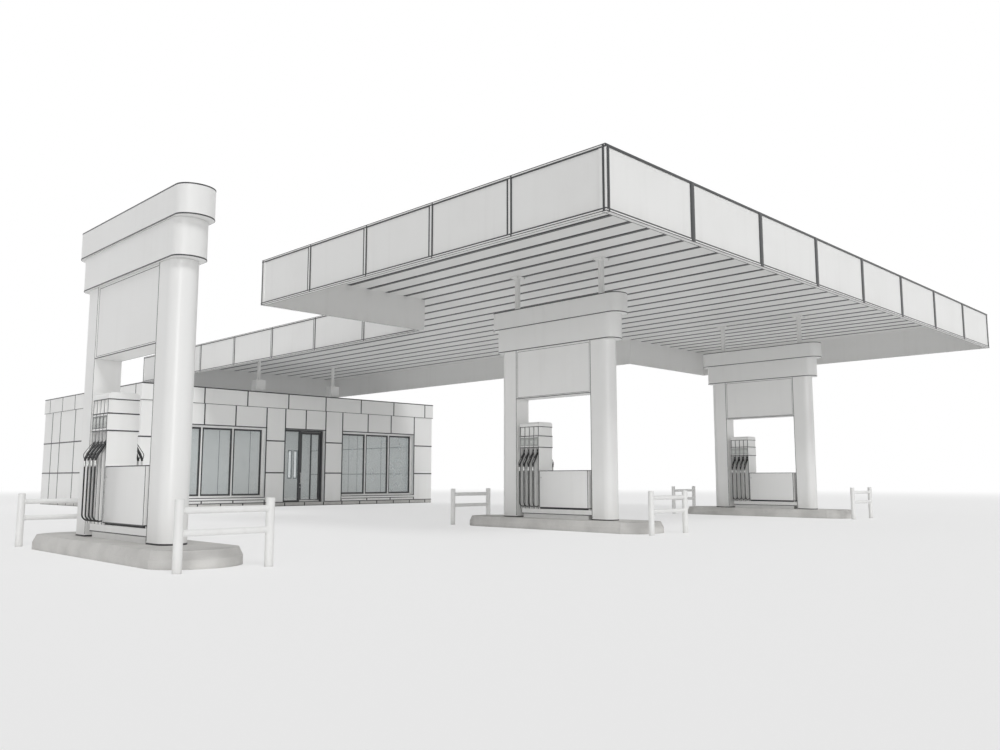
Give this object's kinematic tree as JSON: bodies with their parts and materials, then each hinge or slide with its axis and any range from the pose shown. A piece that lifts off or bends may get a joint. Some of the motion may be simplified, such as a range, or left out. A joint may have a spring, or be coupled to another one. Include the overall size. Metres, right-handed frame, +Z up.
{
  "type": "filling station canopy",
  "caption": "Flat T-shaped forecourt canopy on portal pylons over pump islands, its wing carried by a glazed flat-roofed shop with a hinged door.",
  "frame": {"origin": "ground level, at the middle of the whole station's plan", "axes": "+Z up; +X along the main roof's long edge; +Y from the islands towards the shop's back wall"},
  "size_m": [25.684, 35.24, 6.43],
  "materials": {
    "fascia_panel": "satin",
    "roof_deck": "matte",
    "soffit": "satin",
    "post": "satin",
    "pylon_cladding": "satin",
    "sign_face": "gloss",
    "island_concrete": "matte",
    "rail_paint": "satin",
    "dispenser_paint": "satin",
    "nozzle_plastic": "matte",
    "hose_rubber": "matte",
    "floor_concrete": "matte",
    "wall_panel": "satin",
    "roof_membrane": "matte",
    "roof_edge": "satin",
    "frame_light": "satin",
    "frame_metal": "satin",
    "glass": "clear"
  },
  "bodies": {
    "station": {"fascia_right": "fascia_panel", "fascia_front": "fascia_panel", "fascia_back": "fascia_panel", "fascia_returns": "fascia_panel", "wing_fascia_sides": "fascia_panel", "wing_fascia_end": "fascia_panel", "main_deck": "roof_deck", "wing_deck": "roof_deck", "side_soffits": "soffit", "centre_soffit": "soffit", "canopy_posts": "post", "roof_posts": "post", "pylon_left": "pylon_cladding", "pylon_middle": "pylon_cladding", "pylon_right": "pylon_cladding", "pylon_caps": "pylon_cladding", "sign_boxes": "sign_face", "island_left": "island_concrete", "island_middle": "island_concrete", "island_right": "island_concrete", "guard_rails": "rail_paint", "cabinets": "dispenser_paint", "hose_column_left": "dispenser_paint", "hose_column_middle": "dispenser_paint", "hose_column_right": "dispenser_paint", "nozzles": "nozzle_plastic", "hoses_left": "hose_rubber", "hoses_middle": "hose_rubber", "hoses_right": "hose_rubber", "shop_floor": "floor_concrete", "front_wall_left": "wall_panel", "front_wall_right": "wall_panel", "front_wall_head": "wall_panel", "shop_side_walls": "wall_panel", "shop_back_wall": "wall_panel", "shop_roof": "roof_membrane", "roof_edge_long": "roof_edge", "roof_edge_short": "roof_edge", "window_frames": "frame_light", "window_sashes": "frame_metal", "entrance_frame": "frame_metal", "window_glass": "glass", "entrance_glass": "glass"},
    "door": {"door_leaf": "frame_metal", "door_glass": "glass"}
  },
  "joints": [
    {"name": "door_hinge", "type": "hinge", "parent": "station", "child": "door", "pos_m": [4.068, 7.169, 1.68], "axis": [0, 0, -1], "range_deg": [0, 90]}
  ]
}
